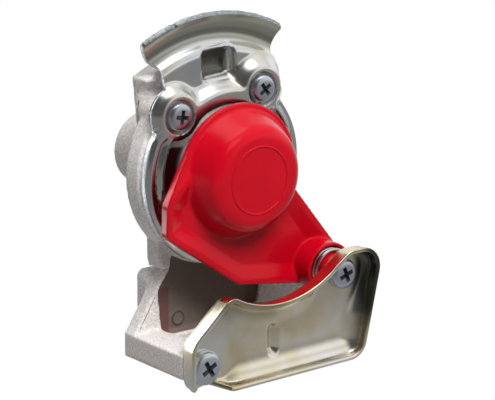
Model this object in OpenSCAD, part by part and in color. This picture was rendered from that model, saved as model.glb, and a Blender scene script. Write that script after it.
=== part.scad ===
// Gladhand air brake coupler with a pressed claw plate, a tray-shaped guide plate
// and a sprung dust cap. Millimetres, +Z up, the port's mouth at the origin.

/* [Casting] */
// Radius of the round flange
flange_r = 34; // [30:0.5:40]
// Thickness of the flange
flange_t = 9; // [6:0.5:14]
// Distance from the flange face back to the port's mouth
head_depth = 46; // [40:0.5:60]
// Radius of the port boss
boss_r = 13.4; // [12.5:0.1:16]
// How far the port lies below the seal's axis
port_drop = 2; // [0:0.5:3]
// Depth of the foot from its front end to its back
foot_len = 34; // [28:0.5:40]
// Height of the foot
foot_h = 8.6; // [7.5:0.1:12]
// Width of the foot
foot_w = 13; // [12:0.5:18]

/* [Port and valve] */
// Core radius of the port's M16 x 1.5 thread
port_r = 7.2; // [6.5:0.05:8]
// Length of the port's thread
port_len = 15; // [10:0.5:16]
// Radius of the valve chamber
chamber_r = 10; // [9:0.1:10.5]
// Radius of the recess that holds the seal
seal_r = 15; // [13.5:0.1:16]
// Height of the seal's face above the flange face
seal_rise = 8; // [7:0.1:9]
// Radius of the valve poppet's disc
poppet_r = 9.2; // [8.2:0.1:9.4]
// Wire radius of the valve spring
valve_wire = 0.6; // [0.4:0.05:0.8]

/* [Claw plate] */
// Sheet thickness of the claw plate
claw_t = 2.2; // [1.8:0.1:3]
// Radius of the lip's free edge about its own centre
lip_r = 61.3; // [59:0.1:64]
// How far the lip's edge stands beyond the valley below it
lip_reach = 6; // [4.5:0.1:7]
// Inner bend radius of the lip
lip_bend = 9.3; // [8.5:0.1:12]
// Inner bend radius between the valley and the shoulder
valley_bend = 4.5; // [3.5:0.1:5.5]
// Outer bend radius of the shoulder above the panel
shoulder_bend = 3.5; // [3:0.1:4.5]
// Angle that the sheet turns through at the shoulder
shoulder_turn = 65; // [45:1:75]
// Half angle that the lip spans
lip_half = 28.9; // [24:0.1:31]
// Lean of the lip to the right
lip_lean = 1; // [0:0.1:4]
// Lean of the window to the left
window_lean = 2; // [0:0.1:6]
// Outer radius of the round part of the claw plate
ring_r = 31.8; // [31:0.1:32]
// Radius from the seal's axis where the flat panel starts
press_r = 28.6; // [28:0.1:30]
// Outer radius of the raised screw seats
seat_r = 10; // [9:0.1:10.5]
// Distance of the claw screws from the seal's axis
claw_screw_rad = 30.3; // [29:0.1:32]
// Half angle between the two claw screws
claw_screw_half = 36.1; // [33:0.1:38]
// Lean of the pair of claw screws to the left
claw_screw_lean = 7.7; // [4:0.1:10]
// Width of the square window
window_w = 11.8; // [9:0.1:13]
// Height of the square window
window_h = 9.7; // [8:0.1:11]

/* [Guide plate] */
// Sheet thickness of the guide plate
tray_t = 1.4; // [1.2:0.1:2]
// Distance of the guide plate's back from the flange face
tray_gap = 24; // [23:0.5:28]
// Height of the tray's wall from its back
tray_h = 7.4; // [5:0.1:10]
// Radius of the arc cut in the top edge
tray_arc_r = 38.6; // [36:0.2:40]
// Length of the pressed detent
detent_len = 12; // [6:0.5:13]

/* [Dust cap] */
// Radius of the cap's round plate
cap_r = 24.5; // [23:0.5:26]
// Thickness of the cap's plate
cap_t = 2.4; // [2:0.1:3]
// Height of the cap's rim from its back
cap_rim = 4.2; // [3.6:0.1:6]
// Radius of the dome at its base
dome_r = 22; // [20.5:0.5:23]
// Height of the dome above the cap's back
dome_h = 13.8; // [10:0.1:14.5]
// Radius of the flat on the dome's end
dome_flat = 13.6; // [11:0.1:14.5]
// Radius that rounds the dome's end
dome_round = 6; // [4:0.1:7]
// Wall thickness of the dome
dome_wall = 2; // [1.5:0.1:2.5]
// Outer radius of the cup round the torsion spring
cup_r = 9.4; // [9.2:0.1:10]
// Wall thickness of that cup
cup_wall = 1.3; // [1:0.1:1.5]
// Wire radius of the cap's torsion spring
coil_wire = 0.7; // [0.5:0.05:0.8]

/* [Pivot and screws] */
// Shank radius of the M5 screws
screw_r = 2.5; // [2:0.1:3]
// Head radius of the M5 pan screws
head_r = 4.9; // [4.5:0.1:5.2]
// Head radius of the pivot screw
pivot_head_r = 5.4; // [5:0.1:5.5]
// Head radius of the guide plate's screw
guide_head_r = 6; // [5:0.1:6.2]
// Head height of the M5 pan screws
head_h = 3.4; // [2.8:0.1:4]
// Outer radius of the pivot sleeve
sleeve_r = 4; // [3.5:0.1:4.5]
// Thickness of the pivot washer
washer_t = 1.8; // [1:0.1:1.9]

/* [Hidden] */
$fn = 64;
// Radial running clearance of the cap on its sleeve
run_gap = 0.08;
// Clearance between parts that pass one another
pass_gap = 0.4;
// Radial clearance of a screw in its tapped hole
tap_gap = 0.05;
// Radial clearance of a screw in a through hole
hole_gap = 0.25;
// Back of the dust cap, clear of the seal's face
cap_back = seal_rise + 0.2;
// Front of the guide plate's floor
tray_front = tray_gap + tray_t;
// Claw screw centres on the face
claw_l = claw_screw_rad * [cos(90 + claw_screw_lean + claw_screw_half),
    sin(90 + claw_screw_lean + claw_screw_half)];
claw_r = claw_screw_rad * [cos(90 + claw_screw_lean - claw_screw_half),
    sin(90 + claw_screw_lean - claw_screw_half)];
// Cap pivot and the guide plate's left screw
pivot = [32.9, -37.9];
guide_l = [-26.4, -60.5];
// Left side and middle height of the foot
foot_x = guide_l[0] - foot_w / 2 - 1.5;
foot_z = guide_l[1] + 0.7;
// Front of the pivot post, behind the washer and the cap
post_front = cap_back - pass_gap - washer_t;
// Coil radius of the cap's torsion spring, clear of the cup
coil_r = cup_r - cup_wall - coil_wire - 0.25;
// Radius of the cap's hub, clear of the spring
hub_r = coil_r - coil_wire - 0.3;
// Floor of the claw plate's screw seats
seat_h = 3;
// Height of the panel's front
panel_h = 0.4;
// Centre that the lip is swept about
lip_c = [-2.3, -8];
// Radius of the valley below the lip
valley_r = lip_r - lip_reach;
// Middle of the square window
window_z = lip_c[1] + valley_r - 10.3;
// How far the window's flange reaches behind the flange face
window_deep = 4.2;
// Radius of the recess that takes a claw screw's head
recess_r = head_r + 0.8;
// Ends of the lip
lip_a0 = 90 - lip_lean - lip_half;
lip_a1 = 90 - lip_lean + lip_half;

// Moves from the flange face on the seal's axis to the port's frame
module at_face() {
    translate([0, -head_depth, port_drop]) children();
}

// A sketch on the face, drawn out toward the front from one height to another
module plate(h0, h1) {
    translate([0, -h0, 0]) rotate([90, 0, 0]) linear_extrude(height = h1 - h0) children();
}

// A profile of radius and height, turned about a line through p, part or all of the way
module turned(p = [0, 0], start = 0, sweep = 360) {
    translate([p[0], 0, p[1]]) rotate([90, 0, 0]) rotate([0, 0, start])
        rotate_extrude(angle = sweep) children();
}

// A round bar along the depth at p, from height h0 to h1 in front of the face
module bar(p, h0, h1, r) {
    translate([p[0], -h0, p[1]]) rotate([90, 0, 0]) cylinder(h = h1 - h0, r = r);
}

// Points of an arc
function arc(c, r, a0, a1, n) = [for (i = [0:n]) c + r * [cos(a0 + (a1 - a0) * i / n),
    sin(a0 + (a1 - a0) * i / n)]];

// Corner of an outline rounded off, n steps; p before, q the corner, s after
function unit(v) = v / norm(v);
function round_corner(p, q, s, r, n) =
    let (u = unit(p - q), w = unit(s - q), half = acos(u * w) / 2, c = q + unit(u + w) * r / sin(half))
    let (f0 = q + u * r / tan(half), f1 = q + w * r / tan(half))
    let (b0 = atan2(f0[1] - c[1], f0[0] - c[0]), d = atan2(f1[1] - c[1], f1[0] - c[0]) - b0)
    let (e = d > 180 ? d - 360 : d < -180 ? d + 360 : d)
    arc(c, r, b0, b0 + e, n);

// Outline with each vertex [x, z, radius] rounded
function rounded(v, n = 6) = [for (i = [0:len(v) - 1])
    let (p = v[(i + len(v) - 1) % len(v)], q = v[i], s = v[(i + 1) % len(v)])
    each q[2] > 0 ? round_corner([p[0], p[1]], [q[0], q[1]], [s[0], s[1]], q[2], n) : [[q[0], q[1]]]];

// Outline moved outward by d, vertex by vertex
function grown(v, d) = [for (i = [0:len(v) - 1])
    let (p = v[(i + len(v) - 1) % len(v)], q = v[i], s = v[(i + 1) % len(v)])
    let (a = unit(q - p), b = unit(s - q), m = unit([a[1] + b[1], -a[0] - b[0]]))
    q + m * d / max(0.5, m * [a[1], -a[0]])];

// Solid through a stack of rings of equal length, closed at both ends or from the last ring to the first
module skin(rings, looped = false) {
    n = len(rings[0]);
    k = len(rings);
    sides = [for (j = [0:k - (looped ? 1 : 2)], i = [0:n - 1])
        [j * n + i, j * n + (i + 1) % n, (j + 1) % k * n + (i + 1) % n, (j + 1) % k * n + i]];
    ends = looped ? [] : [[for (i = [0:n - 1]) n - 1 - i], [for (i = [0:n - 1]) (k - 1) * n + i]];
    polyhedron(points = [for (r = rings) each r], faces = concat(sides, ends), convexity = 6);
}

// Coil of wire about the depth line through p, from height h0 to h1
module coil(p, h0, h1, r, wire, turns, start, steps, sides) {
    lead = (h1 - h0) / turns / 360;
    skin([for (i = [0:turns * steps])
        let (a = 360 * i / steps, q = start + a)
        [for (j = [0:sides - 1])
            let (b = -360 * j / sides, rad = r + wire * cos(b))
            [p[0] + rad * cos(q), -h0 - lead * a - wire * sin(b), p[1] + rad * sin(q)]]]);
}

// Pan head screw pointing back from its seat at height h
module pan_screw(p, h, length, r = head_r) {
    difference() {
        union() {
            turned(p) polygon([[0, h], [r, h], [r, h + head_h * 0.5],
                [r * 0.86, h + head_h * 0.85], [r * 0.55, h + head_h], [0, h + head_h]]);
            bar(p, h - length, h + 0.2, screw_r);
        }
        for (a = [20, 110]) {
            translate([p[0], -h - head_h, p[1]]) rotate([0, a, 0]) cube([r * 1.16, head_h * 1.2,
                1.1], center = true);
        }
    }
}

// Outline of the lower casting and of the cavity in it
lower_outline = [[-34.4, -56.2], [-23.3, -38.3], [-24.7, -29.5], [-24.7, -21], [22, -21],
    [39, -31], [42, -42], [41, -54], [12, -62.5], [-24, -62.5]];
cavity_outline = [[-23.6, -42.6], [-20.7, -33.8], [-19.2, -26], [14, -26], [22, -33], [22, -40],
    [20, -53], [10, -58.5],
    [-22, -58.5]];

// Cast aluminium head
module body() {
    color([0.74, 0.72, 0.7]) at_face() difference() {
        union() {
            turned() polygon([[0, -flange_t], [flange_r, -flange_t], [flange_r, -2.2],
                [flange_r - 2, 0], [0, 0]]);
            turned() polygon([[0, -flange_t - 15], [14.6, -flange_t - 15], [27, -flange_t + 0.5],
                [0, -flange_t + 0.5]]);
            turned([0, -port_drop]) polygon([[0, -head_depth], [boss_r - 1, -head_depth],
                [boss_r, -head_depth + 1],
                [boss_r, -flange_t], [0, -flange_t]]);
            bar([0, 0], -1, 5, 19);
            bar(claw_l, -11, 0, 6.5);
            plate(-14, -7.5) polygon([[-21, 20], [-20.6, 36], [-16, 42], [12, 42], [17, 36], [16, 20]]);
            stop_block();
            plate(-10, -2) polygon([[-24.9, -18], [-24.9, -30], [-22.9, -36.4], [-21.6, -36.4],
            [-20.6, -33.5], [22, -33.5], [26, -18]]);
            plate(-10, -4.6) polygon(lower_outline);
            plate(-13, -8) polygon([[-29, -59], [-18, -33], [20, -27], [36, -33], [38, -42],
                [32, -51], [10, -60]]);
            plate(-16, -9) polygon(rounded([[-24.8, -36, 3], [-24.8, -50, 0.8], [-14, -50, 0.8],
                [-14, -36, 0.8]]));
            translate([foot_x, -tray_gap, foot_z - foot_h / 2]) cube([foot_w, foot_len, foot_h]);
            bar(pivot, -11, post_front, 8);
        }
        plate(-8.2, 0) difference() {
            polygon(cavity_outline);
            circle(r = flange_r + 0.6);
        }
        plate(panel_h - claw_t - 0.2, 3) panel_sketch(press_r - 1.5, seat_r - 0.8);
        plate(-window_deep - 0.3, 0.1) window_sketch(1.9);
        bar([0, 0], -3.2, seal_rise, seal_r);
        bar([0, 0], -21, 0, chamber_r);
        bar([0, -port_drop], -head_depth + port_len - 0.1, -20, 6);
        bar([0, -port_drop], -head_depth - 1, -head_depth + port_len, port_r);
        bar(claw_l, -9, 1, screw_r + tap_gap);
        bar(claw_r, -8, 1, screw_r + tap_gap);
        bar(guide_l, 8, tray_front, screw_r + tap_gap);
        bar(pivot, -8, post_front + 1, screw_r + tap_gap);
    }
}

// Lug behind the claw plate with a scooped front
module stop_block() {
    difference() {
        plate(-14, -5.8) polygon([[-27.6, 33.4], [-20.5, 36.8], [-15, 36], [-12, 15.4], [-25.9, 15.4]]);
        translate([-40, 0.5, 22]) rotate([0, 90, 0]) cylinder(h = 60, r = 12);
    }
}

// Rubber ring that meets the other coupling's ring
module seal_ring() {
    color([0.12, 0.12, 0.13]) at_face() turned() polygon([[6.5, -3.2], [seal_r - 0.05, -3.2],
        [seal_r - 0.05, 4.8],
        [seal_r - 1.8, 5.2], [seal_r - 2.4, seal_rise], [9.6, seal_rise], [9, 5.5], [7.4, 4.5],
            [6.5, 3]]);
}

// Spring-loaded disc that shuts the head when it is parted
module valve_poppet() {
    back = -3.2 - pass_gap;
    color([0.8, 0.65, 0.3]) at_face() turned() polygon([[0, back - 6.6], [6, back - 6.6],
        [6.3, back - 2.8],
        [poppet_r, back - 2.6], [poppet_r, back], [5, back], [5, 2], [4.2, 3], [0, 3]]);
}

// Compression spring behind the poppet
module valve_spring() {
    color([0.6, 0.61, 0.63]) at_face()
        coil([0, 0], -18.4 + valve_wire, -6.3 - valve_wire, 7.4, valve_wire, 5, 0, 20, 6);
}

// Perforated cup that keeps grit out of the line
module strainer() {
    color([0.7, 0.6, 0.35]) at_face() difference() {
        turned() polygon([[0, -20.9], [chamber_r - 0.1, -20.9], [chamber_r - 0.1, -18.5], [6.2, -18.5],
            [6.2, -20], [0, -20]]);
        for (ring = [[0, 1], [2.2, 6], [4.4, 10]], i = [0:ring[1] - 1]) {
            bar(ring[0] * [cos(360 * i / ring[1]), sin(360 * i / ring[1])], -22, -18, 0.7, $fn = 16);
        }
    }
}

// Raised seat round a claw screw
module screw_seat(p) {
    turned(p) polygon([[0, 0], [seat_r, 0], [seat_r, 1.4], [seat_r - 0.7, 3.3], [seat_r - 1.9, 4.8],
        [seat_r - 3.1, 5.4], [recess_r, 5.2], [0, 5.2]]);
}

// Outline of the sheet that the lip and the panel are pressed from
blank_outline = concat(arc(lip_c, lip_r + 4, lip_a0, lip_a1, 8),
    [lip_c + (valley_r - 0.8) * [cos(lip_a1), sin(lip_a1)],
        lip_c + (valley_r - 3.7) * [cos(lip_a1 - 2), sin(lip_a1 - 2)],
        lip_c + (valley_r - 9.5) * [cos(lip_a1 + 0.2), sin(lip_a1 + 0.2)], claw_l, claw_r,
        lip_c + (valley_r - 8.2) * [cos(lip_a0 - 5), sin(lip_a0 - 5)],
        lip_c + (valley_r - 3.8) * [cos(lip_a0), sin(lip_a0)],
            lip_c + (valley_r - 0.8) * [cos(lip_a0), sin(lip_a0)]]);

// The sheet's flat part between the lip and the ridge, clear of the ridge by r and of the seats by q
module panel_sketch(r, q) {
    difference() {
        polygon(blank_outline);
        circle(r = r);
        translate(claw_l) circle(r = q);
        translate(claw_r) circle(r = q);
    }
}

// Section of the sheet from the panel over the shoulder and through the valley to the lip's edge
module lip_section() {
    run = (shoulder_bend + valley_bend) * sin(shoulder_turn);
    drop = (shoulder_bend + valley_bend) * (1 - cos(shoulder_turn));
    low = panel_h - drop;
    edge = asin(lip_reach / lip_bend);
    shoulder = [valley_r - run, panel_h - shoulder_bend];
    dip = [valley_r, low + valley_bend];
    curl = [valley_r, low + lip_bend];
    turn = 90 - shoulder_turn;
    polygon(concat([[30, panel_h]],
        arc(shoulder, shoulder_bend, 90, turn, 6),
        arc(dip, valley_bend, 180 + turn + 11, 270, 5),
        arc(curl, lip_bend, 278, 270 + edge, 4),
        arc(curl, lip_bend + claw_t, 270 + edge - 0.5, 278, 4),
        arc(dip, valley_bend + claw_t, 270, 180 + turn + 11, 5),
        arc(shoulder, shoulder_bend - claw_t, turn, 90, 4),
        [[30, panel_h - claw_t]]));
}

// Pressed steel claw plate with its curled lip, window and screw seats
module claw_plate() {
    color([0.78, 0.8, 0.82]) at_face() difference() {
        union() {
            difference() {
                union() {
                    turned() polygon([[20, 0], [ring_r, 0], [ring_r, claw_t], [20, claw_t]]);
                    turned(start = 56, sweep = 82) polygon([[24.6, 0.3], [28.2, 0.3], [28, 2.6],
                        [27.4, 3.9], [26.5, 4.3],
                        [25.4, 3.5]]);
                }
                plate(panel_h, 12) panel_sketch(press_r, seat_r - 0.2);
            }
            turned(start = 150, sweep = 160) polygon([[ring_r - 1.9, 0.4], [ring_r + 0.2, 0.4],
                [ring_r + 0.2, 3],
                [ring_r - 0.4, 3.4], [ring_r - 1.4, 3.4], [ring_r - 1.9, 3]]);
            for (side = [[18, 30], [147, 29]]) {
                turned(start = side[0], sweep = side[1]) polygon([[26.4, 0.6], [29.6, 0.6],
                    [28.9, 3.9], [28.2, 4.3],
                    [27.4, 4], [26.8, 3.2]]);
            }
            intersection() {
                turned(lip_c, 48, 84) lip_section();
                plate(-12, 12) panel_sketch(press_r - 1.2, seat_r - 0.5);
            }
            screw_seat(claw_l);
            screw_seat(claw_r);
            plate(-window_deep, -1) window_sketch(1.6);
        }
        plate(-12, 9) window_sketch(0);
        for (p = [claw_l, claw_r]) {
            bar(p, -1, 9, screw_r + hole_gap);
            bar(p, seat_h, 12, recess_r);
        }
    }
}

// Square window grown by g
module window_sketch(g) {
    rotate([0, 0, window_lean]) polygon(rounded([for (c = [[-1, -1], [1, -1], [1, 1], [-1, 1]])
        [c[0] * (window_w / 2 + g), window_z + c[1] * (window_h / 2 + g), 1.6 + g]], 4));
}

// Left claw screw
module claw_screw_left() {
    color([0.66, 0.69, 0.73]) at_face() pan_screw(claw_l, seat_h, 10);
}

// Right claw screw
module claw_screw_right() {
    color([0.66, 0.69, 0.73]) at_face() pan_screw(claw_r, seat_h, 10);
}

// Outline of the guide plate's wall, seen from the front, with its arc along the top
tray_arc_c = pivot + (tray_arc_r + pivot_head_r + tray_t + 0.63) * [-0.667, 0.745];
// Ends of that arc
tray_a0 = -acos((pivot[0] - 5.9 - tray_arc_c[0]) / tray_arc_r);
tray_a1 = -acos((-14.1 - tray_arc_c[0]) / tray_arc_r);
tray_outline = rounded(concat(
    [[-18.5, -36.2, 4], [-34.8, -50.6, 6], [-34.8, -68.2, 3.6], [-25.4, -66.2, 3], [-18, -68.9, 6],
        [38.7, -67.9, 6.5], [47.3, -29.1, 7.2], [32.8, -29.1, 6]],
    [for (q = arc(tray_arc_c, tray_arc_r, tray_a0, tray_a1, 9)) [q[0], q[1], 0]]), 4);

// Pressed tray that the other coupling's claw slides behind
module guide_plate() {
    o = tray_outline;
    h = [[-tray_t - 0.7, tray_t - 0.5], [-tray_t, tray_t + 0.5], [0.5 - tray_t, tray_h],
        [0.5, tray_h], [0, 1.9], [-0.6, 0.7], [-1.6, 0.12], [-2.1, 0.4]];
    color([0.76, 0.72, 0.6]) at_face() difference() {
        union() {
            skin([for (k = h) let (g = grown(o, k[0])) [for (q = g) [q[0], -tray_gap - k[1],
                q[1]]]], true);
            plate(tray_gap, tray_front) polygon(grown(o, -1.3));
            plate(tray_gap - 1.2, tray_gap + 0.6) detent_sketch(0);
        }
        plate(tray_gap + 0.4, tray_front + 1) detent_sketch(-0.4);
        plate(tray_front - 0.15, tray_front + tray_h) polygon([[-32, -60], [-22.2, -62],
            [-22.2, -75], [-32, -75]]);
        bar(guide_l, tray_gap - 1, tray_front + 1, screw_r + hole_gap);
        bar(pivot, tray_gap - 1, tray_front + 1, screw_r + hole_gap);
    }
}

// Oblong of the pressed detent grown by g
module detent_sketch(g) {
    polygon(rounded([for (c = [[-1, -1], [1, -1], [1, 1], [-1, 1]])
        [3.2 + c[0] * (2.3 + g), -56.2 + c[1] * (detent_len / 2 + g), 2.2 + g]], 5));
}

// Screw that holds the guide plate to the foot
module guide_screw() {
    color([0.66, 0.69, 0.73]) at_face() pan_screw(guide_l, tray_front, 16, guide_head_r);
}

// Screw through the guide plate, the sleeve and the cap's pivot
module pivot_screw() {
    color([0.66, 0.69, 0.73]) at_face() pan_screw(pivot, tray_front, tray_front + 6, pivot_head_r);
}

// Sleeve that the cap turns on
module pivot_sleeve() {
    color([0.7, 0.71, 0.72]) at_face() turned(pivot) polygon([[screw_r + hole_gap, post_front],
        [sleeve_r, post_front],
        [sleeve_r, tray_gap], [screw_r + hole_gap, tray_gap]]);
}

// Washer between the post and the cap
module pivot_washer() {
    color([0.7, 0.71, 0.72]) at_face() turned(pivot) polygon([[sleeve_r + hole_gap, post_front],
        [7.8, post_front],
        [7.8, post_front + washer_t], [sleeve_r + hole_gap, post_front + washer_t]]);
}

// Torsion spring that swings the cap shut
module cap_spring() {
    color([0.72, 0.73, 0.75]) at_face() coil(pivot, cap_back + cap_t + 1.4 + coil_wire,
        tray_gap - coil_wire - 0.8,
        coil_r, coil_wire, 5, 40, 20, 6);
}

// Outline of the cap's flat part
cap_outline = [[-12.5, 12.9, 0], [-31.6, -6.2, 2.8], [-31.9, -17.6, 2.8], [-1.5, -39.2, 3],
    [27, -43.8, 3], [42, -44, 4],
    [43, -34.2, 4], [10.7, 6.9, 0]];

// Moulded dust cap with its dome, sloping rim and pivot cup
module dust_cap() {
    o = rounded(cap_outline);
    v = [for (q = cap_outline) [q[0], q[1]]];
    top = cap_back + dome_h;
    floor_h = cap_back + cap_t;
    rim_h = cap_back + cap_rim;
    color([0.8, 0.03, 0.1]) at_face() difference() {
        union() {
            plate(cap_back, floor_h) union() {
                circle(r = cap_r);
                polygon(o);
            }
            difference() {
                plate(cap_back + 0.1, rim_h) polygon(o);
                skin([for (k = [[-0.7, rim_h + 0.5],
                    [-7, floor_h - 0.02]]) [for (q = grown(v, k[0])) [q[0], -k[1], q[1]]]]);
            }
            turned() polygon(concat([[0, cap_back + 0.1], [dome_r, cap_back + 0.1],
                [dome_r, floor_h + 0.8]],
                arc([dome_flat, top - dome_round], dome_round, 27, 90, 7), [[0, top]]));
            bar(pivot, cap_back, 19.6, cup_r);
            bar(pivot, cap_back, tray_gap - pass_gap, hub_r);
        }
        turned() polygon(concat([[0, cap_back - 1], [dome_r - dome_wall, cap_back - 1],
            [dome_r - dome_wall, floor_h + 0.8]],
            arc([dome_flat, top - dome_round], dome_round - dome_wall, 27, 90, 5), [[0,
                top - dome_wall]]));
        turned(pivot) polygon([[hub_r, floor_h + 1], [cup_r - cup_wall, floor_h + 1],
            [cup_r - cup_wall, tray_gap],
            [hub_r, tray_gap]]);
        bar(pivot, cap_back - 1, tray_gap + 1, sleeve_r + run_gap);
    }
}

body();
seal_ring();
valve_poppet();
valve_spring();
strainer();
claw_plate();
claw_screw_left();
claw_screw_right();
guide_plate();
guide_screw();
pivot_screw();
pivot_sleeve();
pivot_washer();
cap_spring();
dust_cap();
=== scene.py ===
import math
import bpy
import bmesh
import numpy as np
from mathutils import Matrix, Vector


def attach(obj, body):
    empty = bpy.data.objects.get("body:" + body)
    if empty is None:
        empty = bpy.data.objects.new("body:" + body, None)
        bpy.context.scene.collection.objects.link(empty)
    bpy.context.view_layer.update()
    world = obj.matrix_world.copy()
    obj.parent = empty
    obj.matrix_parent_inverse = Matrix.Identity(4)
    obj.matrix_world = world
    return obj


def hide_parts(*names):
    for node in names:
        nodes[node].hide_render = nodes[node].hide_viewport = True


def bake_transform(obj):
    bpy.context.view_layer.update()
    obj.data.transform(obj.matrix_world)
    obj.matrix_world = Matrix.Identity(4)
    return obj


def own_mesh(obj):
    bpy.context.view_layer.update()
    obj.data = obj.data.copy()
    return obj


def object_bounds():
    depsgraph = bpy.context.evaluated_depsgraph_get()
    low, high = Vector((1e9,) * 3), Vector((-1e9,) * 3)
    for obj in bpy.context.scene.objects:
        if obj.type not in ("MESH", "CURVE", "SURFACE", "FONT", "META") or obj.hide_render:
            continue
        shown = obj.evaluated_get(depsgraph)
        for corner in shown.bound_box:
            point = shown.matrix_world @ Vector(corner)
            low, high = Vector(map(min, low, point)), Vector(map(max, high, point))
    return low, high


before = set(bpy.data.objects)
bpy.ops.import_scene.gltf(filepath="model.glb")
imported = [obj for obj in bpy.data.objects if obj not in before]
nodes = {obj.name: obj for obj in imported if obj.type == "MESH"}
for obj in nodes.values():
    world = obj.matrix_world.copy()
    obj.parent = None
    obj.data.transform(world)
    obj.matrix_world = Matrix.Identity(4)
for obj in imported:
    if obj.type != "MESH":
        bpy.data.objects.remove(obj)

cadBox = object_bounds()
scene = bpy.context.scene

# Places are given as in the part's source: x to the right, h out of the flange face, z up, in millimetres
mm = 0.001
layout = {"headDepth": 46.0, "portDrop": 2.0, "lipCentre": (-2.3, -8.0), "arcCentre": (2.2, -3.6),
          "pivot": (32.9, -37.9), "pin": (-13.0, -54.0)}
squareCorners = ((-1, -1), (1, -1), (1, 1), (-1, 1))


def spot(x, h, z):
    return (x * mm, (-h - layout["headDepth"]) * mm, (z + layout["portDrop"]) * mm)


def spots(x, h, z):
    x, h, z = np.broadcast_arrays(np.asarray(x, float), np.asarray(h, float), np.asarray(z, float))
    return np.stack([x, -h - layout["headDepth"], z + layout["portDrop"]], axis=-1) * mm


def smooth(a, b, v):
    t = np.clip((v - a) / (b - a), 0.0, 1.0)
    return t * t * (3.0 - 2.0 * t)


def softMax(a, b, k):
    t = np.clip(0.5 + 0.5 * (a - b) / k, 0.0, 1.0)
    return b + (a - b) * t + k * t * (1.0 - t)


def bell(t):
    return 0.5 + 0.5 * np.cos(np.pi * np.clip(t, 0.0, 1.0))


def apart(x, z, mid):
    return np.hypot(x - mid[0], z - mid[1])


def bearing(x, z):
    return np.degrees(np.arctan2(z, x)) % 360


def sweep(angle, start, end):
    return smooth(*start, angle) * (1 - smooth(*end, angle))


def turned(u, v, a):
    return u * math.cos(a) - v * math.sin(a), u * math.sin(a) + v * math.cos(a)


def polar(centre, radius, degrees):
    a = math.radians(degrees)
    return centre[0] + radius * math.cos(a), centre[1] + radius * math.sin(a)


def arcPoints(centre, radius, start, end, steps):
    return [polar(centre, radius, a) for a in np.linspace(start, end, steps + 1)]


def roundedOutline(corners, steps):
    outline = []
    for i, (qx, qz, radius) in enumerate(corners):
        if radius <= 0:
            outline.append((qx, qz))
            continue
        q = Vector((qx, qz))
        u = (Vector(corners[i - 1][:2]) - q).normalized()
        w = (Vector(corners[(i + 1) % len(corners)][:2]) - q).normalized()
        half = u.angle(w) / 2
        centre = q + (u + w).normalized() * (radius / math.sin(half))
        first = q + u * (radius / math.tan(half)) - centre
        last = q + w * (radius / math.tan(half)) - centre
        start = math.atan2(first.y, first.x)
        turn = math.atan2(last.y, last.x) - start
        turn = (turn + math.pi) % (2 * math.pi) - math.pi
        for k in range(steps + 1):
            a = start + turn * k / steps
            outline.append((centre.x + radius * math.cos(a), centre.y + radius * math.sin(a)))
    return outline


def grownOutline(outline, distance):
    sharpest = 0.5
    p = np.array(outline)
    a = p - np.roll(p, 1, axis=0)
    b = np.roll(p, -1, axis=0) - p
    a /= np.linalg.norm(a, axis=1)[:, None]
    b /= np.linalg.norm(b, axis=1)[:, None]
    m = np.stack([a[:, 1] + b[:, 1], -a[:, 0] - b[:, 0]], axis=1)
    m /= np.linalg.norm(m, axis=1)[:, None]
    cosine = np.maximum(sharpest, m[:, 0] * a[:, 1] - m[:, 1] * a[:, 0])
    return p + m * (distance / cosine)[:, None]


def polygonField(outline):
    p = np.array(outline, float)
    q = np.roll(p, -1, axis=0)

    def field(x, z):
        best = np.full(x.shape, np.inf)
        inside = np.zeros(x.shape, bool)
        for (ax, az), (bx, bz) in zip(p, q):
            ex, ez = bx - ax, bz - az
            wx, wz = x - ax, z - az
            t = np.clip((wx * ex + wz * ez) / (ex * ex + ez * ez), 0.0, 1.0)
            best = np.minimum(best, (wx - ex * t) ** 2 + (wz - ez * t) ** 2)
            if az != bz:
                inside ^= ((az > z) != (bz > z)) & (x < ex * (z - az) / ez + ax)
        return np.where(inside, -1.0, 1.0) * np.sqrt(best)
    return field


def placed(name, data):
    thing = bpy.data.objects.new(name, data)
    scene.collection.objects.link(thing)
    return thing


def meshFrom(name, points, faces):
    mesh = bpy.data.meshes.new(name)
    mesh.from_pydata([tuple(float(c) for c in p) for p in points], [], faces)
    mesh.update()
    return mesh


def addPiece(name, mesh, looksOn, body, replaced, degrees):
    piece = placed(name, mesh)
    indices = np.zeros(len(mesh.polygons), np.int32)
    mesh.polygons.foreach_get("material_index", indices)
    mesh.materials.clear()
    for lookName in looksOn:
        mesh.materials.append(materials[lookName])
    mesh.polygons.foreach_set("material_index", np.minimum(indices, len(looksOn) - 1))
    mesh.polygons.foreach_set("use_smooth", np.ones(len(mesh.polygons), bool))
    mesh.set_sharp_from_angle(angle=math.radians(degrees))
    if body:
        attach(piece, body)
    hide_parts(*replaced)
    return piece


def joined(name, meshes):
    bm = bmesh.new()
    for mesh in meshes:
        bm.from_mesh(mesh)
    bmesh.ops.recalc_face_normals(bm, faces=bm.faces)
    mesh = bpy.data.meshes.new(name)
    bm.to_mesh(mesh)
    bm.free()
    return mesh


def evaluated(name, shape):
    graph = bpy.context.evaluated_depsgraph_get()
    result = bpy.data.meshes.new_from_object(shape.evaluated_get(graph), depsgraph=graph)
    result.name = name
    return result


def remeshed(name, mesh, voxel, factor, rounds):
    shape = placed(name + "Shape", mesh)
    remesh = shape.modifiers.new("remesh", "REMESH")
    remesh.mode = "VOXEL"
    remesh.voxel_size = voxel * mm
    relax = shape.modifiers.new("relax", "SMOOTH")
    relax.factor = factor
    relax.iterations = rounds
    result = evaluated(name, shape)
    bpy.data.objects.remove(shape)
    return result


def carved(name, mesh, cutMesh):
    whole = placed(name + "Whole", mesh)
    cutter = placed(name + "Cut", cutMesh)
    cut = whole.modifiers.new("cut", "BOOLEAN")
    cut.operation = "DIFFERENCE"
    cut.solver = "EXACT"
    cut.use_self = True
    cut.object = cutter
    result = evaluated(name, whole)
    bpy.data.objects.remove(whole)
    bpy.data.objects.remove(cutter)
    return result


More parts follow.
